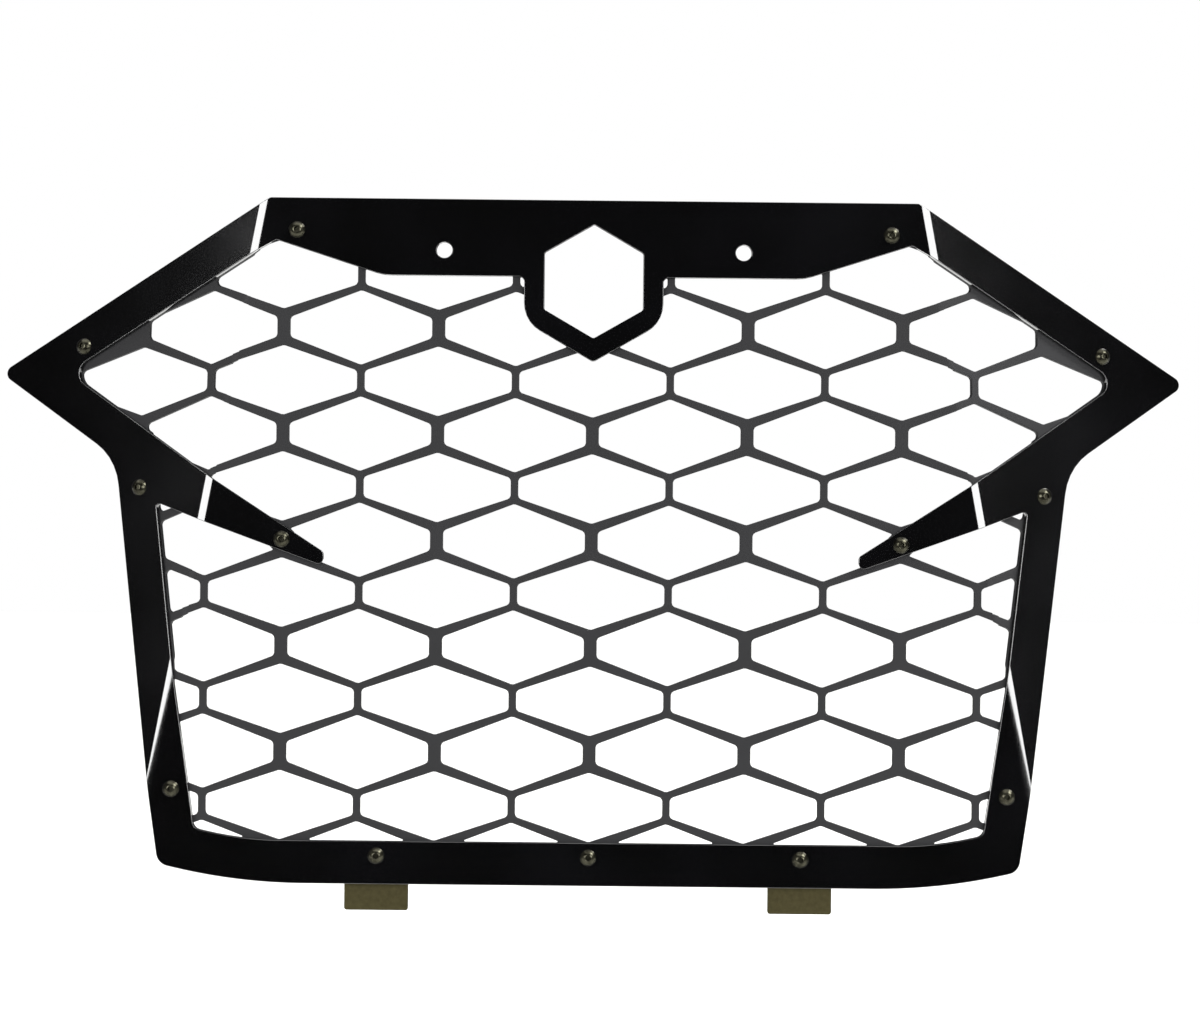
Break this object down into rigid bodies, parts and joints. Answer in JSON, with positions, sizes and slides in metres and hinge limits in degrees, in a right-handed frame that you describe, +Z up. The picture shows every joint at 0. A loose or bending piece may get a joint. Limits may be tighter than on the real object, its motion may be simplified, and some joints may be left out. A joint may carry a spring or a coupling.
{
  "type": "front grille",
  "caption": "Bent sheet-metal front grille for an off-road vehicle: a black face frame with swept wings and inward prongs over a stretched-hexagon mesh panel.",
  "frame": {"origin": "midway between the two top mounting holes, on the rear mounting face of the top bar", "axes": "+X to the right seen from in front, +Z up, the face looks along -Y and +Y points into the vehicle"},
  "size_m": [0.6832, 0.0602, 0.4048],
  "materials": {
    "face_frame": "gloss black powder coat",
    "mesh": "satin dark grey powder coat",
    "tab": "bare olive-brown passivated steel",
    "screw": "machined stainless steel",
    "washer": "zinc plated",
    "nut": "zinc plated",
    "nylon_ring": "natural nylon"
  },
  "bodies": {
    "root": {"frame_plate": "face_frame", "mesh_panel": "mesh", "lower_tab_left": "tab", "lower_tab_right": "tab", "top_screws": "screw", "top_washers": "washer", "top_nuts": "nut", "top_nut_rings": "nylon_ring", "wing_screws": "screw", "wing_washers": "washer", "wing_nuts": "nut", "wing_nut_rings": "nylon_ring", "shoulder_screws": "screw", "shoulder_washers": "washer", "shoulder_nuts": "nut", "shoulder_nut_rings": "nylon_ring", "prong_screws": "screw", "prong_washers": "washer", "prong_nuts": "nut", "prong_nut_rings": "nylon_ring", "side_screws": "screw", "side_washers": "washer", "side_nuts": "nut", "side_nut_rings": "nylon_ring", "tab_screws": "screw", "tab_washers": "washer", "tab_nuts": "nut", "tab_nut_rings": "nylon_ring", "foot_screw": "screw", "foot_washer": "washer", "foot_nut": "nut", "foot_nut_ring": "nylon_ring"}
  },
  "joints": []
}
